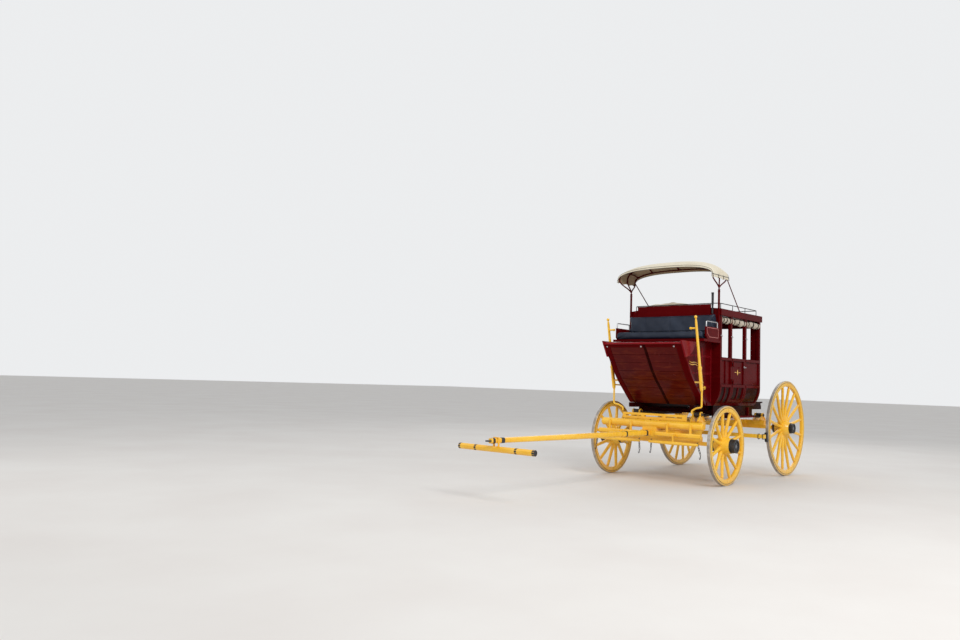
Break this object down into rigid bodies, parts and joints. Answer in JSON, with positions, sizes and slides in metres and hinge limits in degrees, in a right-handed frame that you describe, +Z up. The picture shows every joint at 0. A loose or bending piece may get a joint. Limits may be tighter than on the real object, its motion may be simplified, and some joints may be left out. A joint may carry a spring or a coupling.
{
  "type": "stagecoach",
  "caption": "Horse-drawn stagecoach on leather braces, with a turning front carriage, opening side doors, driver's seat under a canopy and a rear platform.",
  "frame": {"origin": "on the ground, on the centre plane, midway between the pole's eye and the rear of the rear wheels", "axes": "+X forward along the pole, +Y to the coach's left, +Z up"},
  "size_m": [7.0239, 2.194, 3.2246],
  "materials": {
    "yellow_paint": "gloss coach enamel",
    "maroon_paint": "gloss coach enamel",
    "red_paint": "gloss coach enamel",
    "tyre_iron": "worn and dusty",
    "black_iron": "satin black",
    "bright_steel": "satin",
    "navy_leather": "buttoned upholstery",
    "brace_leather": "oiled harness leather",
    "cream_canvas": "proofed canvas",
    "beige_canvas": "canvas"
  },
  "bodies": {
    "coach": {"bench_cushions": "navy_leather", "benches": "maroon_paint", "bolster": "yellow_paint", "boot": "maroon_paint", "boot_wings": "red_paint", "brake_beam": "yellow_paint", "brake_blocks": "black_iron", "brake_levers": "yellow_paint", "cabin_floor": "maroon_paint", "cabin_front_wall": "maroon_paint", "cabin_rear_wall": "maroon_paint", "cabin_side_left": "maroon_paint", "cabin_side_right": "maroon_paint", "canopy": "cream_canvas", "canopy_frame": "red_paint", "curtains": "beige_canvas", "dash": "maroon_paint", "front_jacks": "yellow_paint", "perch": "yellow_paint", "rear_axle": "yellow_paint", "rear_jacks": "yellow_paint", "rear_platform": "maroon_paint", "roof": "maroon_paint", "roof_rack": "black_iron", "seat_back": "navy_leather", "seat_cushion": "navy_leather", "seat_frame": "maroon_paint", "seat_irons": "bright_steel", "side_steps": "maroon_paint", "thoroughbraces": "brace_leather", "underframe": "maroon_paint"},
    "front_carriage": {"front_axle": "yellow_paint", "turntable": "yellow_paint", "futchells": "yellow_paint", "splinter_bar": "yellow_paint", "trace_bars": "yellow_paint", "swingletrees": "yellow_paint", "draught_irons": "black_iron", "pole": "yellow_paint", "pole_eye": "black_iron", "lead_bar": "yellow_paint", "crossbar": "yellow_paint"},
    "wheel_front_left": {"wheel_front_left": "yellow_paint", "tyre_front_left": "tyre_iron", "hub_cap_front_left": "black_iron"},
    "wheel_front_right": {"wheel_front_right": "yellow_paint", "tyre_front_right": "tyre_iron", "hub_cap_front_right": "black_iron"},
    "wheel_rear_left": {"wheel_rear_left": "yellow_paint", "tyre_rear_left": "tyre_iron", "hub_cap_rear_left": "black_iron"},
    "wheel_rear_right": {"wheel_rear_right": "yellow_paint", "tyre_rear_right": "tyre_iron", "hub_cap_rear_right": "black_iron"},
    "door_left": {"door_left": "maroon_paint"},
    "door_right": {"door_right": "maroon_paint"}
  },
  "joints": [
    {"name": "front_carriage_turn", "type": "hinge", "parent": "coach", "child": "front_carriage", "pos_m": [-0.552, 0, 0.7], "axis": [0, 0, 1], "range_deg": [-22, 22]},
    {"name": "wheel_front_left_spin", "type": "hinge", "parent": "front_carriage", "child": "wheel_front_left", "pos_m": [-0.552, 0.94, 0.56], "axis": [0, 1, 0], "continuous": true},
    {"name": "wheel_front_right_spin", "type": "hinge", "parent": "front_carriage", "child": "wheel_front_right", "pos_m": [-0.552, -0.94, 0.56], "axis": [0, 1, 0], "continuous": true},
    {"name": "wheel_rear_left_spin", "type": "hinge", "parent": "coach", "child": "wheel_rear_left", "pos_m": [-2.752, 0.94, 0.76], "axis": [0, 1, 0], "continuous": true},
    {"name": "wheel_rear_right_spin", "type": "hinge", "parent": "coach", "child": "wheel_rear_right", "pos_m": [-2.752, -0.94, 0.76], "axis": [0, 1, 0], "continuous": true},
    {"name": "door_left_swing", "type": "hinge", "parent": "coach", "child": "door_left", "pos_m": [-1.153, 0.766, 1.5], "axis": [0, 0, -1], "range_deg": [0, 85]},
    {"name": "door_right_swing", "type": "hinge", "parent": "coach", "child": "door_right", "pos_m": [-1.153, -0.766, 1.5], "axis": [0, 0, 1], "range_deg": [0, 85]}
  ]
}
